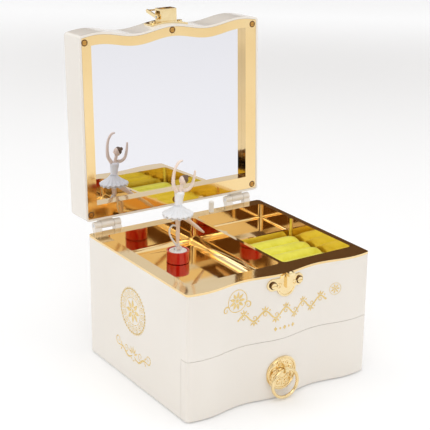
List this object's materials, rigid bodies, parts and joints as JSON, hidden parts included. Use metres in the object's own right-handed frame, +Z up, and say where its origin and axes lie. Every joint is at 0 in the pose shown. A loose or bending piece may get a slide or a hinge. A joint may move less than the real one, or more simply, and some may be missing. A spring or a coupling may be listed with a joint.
{
  "type": "wind up music box",
  "caption": "Wavy fronted plastic jewellery case with a drawer, a mirror lid on hinges, a clasp, a ring pull, a wind up movement and a turning dancer.",
  "frame": {"origin": "centre of the underside, on the surface it stands on", "axes": "+X right seen from the drawer side, +Y towards the hinges, +Z up"},
  "size_m": [0.15, 0.1758, 0.2459],
  "materials": {
    "ivory_plastic": "glossy warm white moulding",
    "gold_plastic": "vacuum metallised gold, mirror bright",
    "gold_metal": "polished pale gold plate",
    "felt": "short felt",
    "cushion": "satin over foam rolls",
    "backing": "plain board",
    "mirror": "silvered",
    "brass": "satin brass",
    "steel": "bright steel",
    "cast": "plain casting",
    "nylon": "natural nylon",
    "red_plastic": "glossy red",
    "white_plastic": "glossy white",
    "skin_plastic": "painted figure",
    "skirt": "white, slightly sheer"
  },
  "bodies": {
    "case": {"case_shell": "ivory_plastic", "base_panel": "ivory_plastic", "base_screws": "steel", "felt_feet": "felt", "drawer_deck": "ivory_plastic", "drawer_runners": "ivory_plastic", "tray": "gold_plastic", "ring_cushion": "cushion", "catch_plate": "gold_metal", "catch_screws": "gold_metal", "hinge_blocks": "ivory_plastic", "hinge_block_screws": "steel", "hinge_pins": "steel", "spindle_bush": "brass", "bedplate": "brass", "movement_screws": "steel", "front_plate": "brass", "plate_pillars": "brass", "comb_base": "cast", "comb": "steel", "comb_screws": "brass", "governor_bracket": "brass", "plunger_guide": "ivory_plastic"},
    "lid": {"lid_shell": "ivory_plastic", "lid_top": "ivory_plastic", "lid_frame": "gold_plastic", "lid_mirror": "mirror", "mirror_backing": "backing", "frame_screws": "gold_metal", "hinge_leaves": "ivory_plastic", "leaf_screws": "steel", "latch_plate": "gold_metal", "latch_pin": "steel"},
    "hasp": {"hasp_loop": "gold_metal"},
    "drawer": {"drawer_front": "ivory_plastic", "drawer_box": "ivory_plastic", "drawer_lining": "felt", "escutcheon": "gold_metal", "pull_stud": "gold_metal"},
    "pull": {"pull_ring": "gold_metal"},
    "dancer_turn": {"dancer_base": "red_plastic", "dancer_disc": "white_plastic", "spindle": "steel", "crown_gear": "nylon", "fold_pin": "steel"},
    "dancer": {"dancer_foot": "skin_plastic", "dancer_figure": "skin_plastic", "dancer_skirt": "skirt"},
    "barrel": {"spring_barrel": "brass", "barrel_lid": "brass", "mainspring": "steel"},
    "key": {"winding_arbor": "steel", "winding_key": "steel"},
    "cylinder": {"tune_cylinder": "brass", "cylinder_arbor": "steel"},
    "governor": {"governor_wheel": "nylon"},
    "fan": {"fan_spindle": "nylon"},
    "plunger": {"stop_plunger": "white_plastic", "stop_arm": "steel", "plunger_spring": "steel"}
  },
  "joints": [
    {"name": "lid_hinge", "type": "hinge", "parent": "case", "child": "lid", "pos_m": [0, 0.0718, 0.0953], "axis": [1, 0, 0], "range_deg": [0, 91.7]},
    {"name": "hasp_swing", "type": "hinge", "parent": "lid", "child": "hasp", "pos_m": [0.002, 0.08529, 0.23976], "axis": [1, 0, 0], "range_deg": [-12, 168]},
    {"name": "drawer_slide", "type": "slide", "parent": "case", "child": "drawer", "axis": [0, -1, 0], "range_m": [0, 0.05]},
    {"name": "ring_swing", "type": "hinge", "parent": "drawer", "child": "pull", "pos_m": [0.0005, -0.0732, 0.0227], "axis": [-1, 0, 0], "range_deg": [-4, 110]},
    {"name": "key_wind", "type": "hinge", "parent": "case", "child": "key", "pos_m": [-0.0235, 0.07, 0.026], "axis": [0, 1, 0], "range_deg": [0, 1620]},
    {"name": "barrel_spin", "type": "hinge", "parent": "case", "child": "barrel", "pos_m": [-0.0235, 0.05, 0.026], "axis": [0, 1, 0], "continuous": true},
    {"name": "cylinder_spin", "type": "hinge", "parent": "case", "child": "cylinder", "pos_m": [-0.0235, 0.05, 0.05], "axis": [0, 1, 0], "continuous": true},
    {"name": "dancer_spin", "type": "hinge", "parent": "case", "child": "dancer_turn", "pos_m": [-0.0235, 0.0275, 0.07], "axis": [0, 0, 1], "continuous": true},
    {"name": "governor_spin", "type": "hinge", "parent": "case", "child": "governor", "pos_m": [-0.00189, 0.035, 0.01813], "axis": [0, 1, 0], "continuous": true},
    {"name": "fan_spin", "type": "hinge", "parent": "case", "child": "fan", "pos_m": [0.00991, 0.03475, 0.02], "axis": [0, 0, 1], "continuous": true},
    {"name": "dancer_fold", "type": "hinge", "parent": "dancer_turn", "child": "dancer", "pos_m": [-0.0235, 0.0275, 0.0834], "axis": [1, 0, 0], "range_deg": [0, 85.3]},
    {"name": "plunger_slide", "type": "slide", "parent": "case", "child": "plunger", "axis": [0, 0, 1], "range_m": [-0.0085, 0], "deforming": ["plunger_spring"]}
  ],
  "couplings": [
    {"joint": "cylinder_spin", "follows": "barrel_spin", "ratio": -3},
    {"joint": "dancer_spin", "follows": "barrel_spin", "ratio": 2},
    {"joint": "governor_spin", "follows": "barrel_spin", "ratio": -3.6},
    {"joint": "fan_spin", "follows": "barrel_spin", "ratio": 21.6},
    {"joint": "dancer_fold", "follows": "lid_hinge", "ratio": 0.93},
    {"joint": "plunger_slide", "follows": "lid_hinge", "m_per_rad": -0.0052485}
  ]
}
